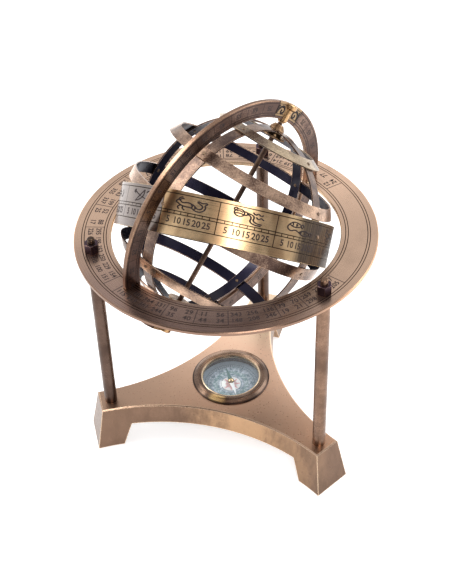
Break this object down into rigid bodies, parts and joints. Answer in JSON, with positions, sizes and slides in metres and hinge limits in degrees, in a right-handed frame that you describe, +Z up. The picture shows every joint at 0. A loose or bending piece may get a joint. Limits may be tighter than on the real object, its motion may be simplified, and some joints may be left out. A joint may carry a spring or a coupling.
{
  "type": "armillary sphere",
  "caption": "Brass armillary sphere of nested rings on a tilted polar axis, held by a meridian ring in a horizon ring on round posts over a footed base with a compass.",
  "frame": {"origin": "on the stand's axis, at the height of the soles of the feet", "axes": "+Z up along the stand's axis, -Y towards the viewer of the picture, +X to the viewer's right"},
  "size_m": [0.1812, 0.1799, 0.2366],
  "materials": {
    "base_brass": "satin cast brass, worn bright on its edges",
    "ring_brass": "polished brass with dark engraving",
    "dark_brass": "dark brown patina, worn bright on its edges",
    "band_brass": "brown patina on thin rolled strip",
    "zodiac_brass": "bright golden brass with dark engraving",
    "bare_brass": "bare turned brass",
    "nut_brass": "almost black patina",
    "bezel_brass": "dark glossy patina",
    "glass": "clear flat glass",
    "dial": "pale blue-grey printed dial",
    "needle_steel": "thin steel, painted"
  },
  "bodies": {
    "stand": {"base_plate": "base_brass", "base_screws": "bare_brass", "post_left": "dark_brass", "post_right": "dark_brass", "post_rear": "dark_brass", "post_nuts": "nut_brass", "horizon_ring": "ring_brass", "compass_case": "bezel_brass", "compass_bezel": "bezel_brass", "compass_glass": "glass", "compass_dial": "dial", "compass_pivot": "bare_brass"},
    "meridian": {"meridian_ring": "dark_brass", "north_pole_clip": "bare_brass", "south_pole_clip": "bare_brass", "clip_rivets": "bare_brass"},
    "sphere": {"axis_rod": "dark_brass", "north_hub": "band_brass", "south_hub": "band_brass", "north_collar": "band_brass", "south_collar": "band_brass", "equinoctial_colure": "band_brass", "solstitial_colure": "band_brass", "equator_band": "band_brass", "north_tropic_band": "band_brass", "south_tropic_band": "band_brass", "north_polar_circle": "band_brass", "south_polar_circle": "band_brass", "zodiac_band": "zodiac_brass", "band_rivets": "bare_brass"},
    "needle": {"compass_needle": "needle_steel", "needle_cap": "bare_brass"}
  },
  "joints": [
    {"name": "meridian_turn", "type": "hinge", "parent": "stand", "child": "meridian", "pos_m": [0, 0, 0.16], "axis": [0.6692, -0.7381, -0.0859], "range_deg": [-38, 115]},
    {"name": "sphere_spin", "type": "hinge", "parent": "meridian", "child": "sphere", "pos_m": [0, 0, 0.16], "axis": [0.5158, 0.3781, 0.7688], "continuous": true},
    {"name": "needle_turn", "type": "hinge", "parent": "stand", "child": "needle", "pos_m": [0, 0, 0.0267], "axis": [0, 0, 1], "continuous": true}
  ]
}
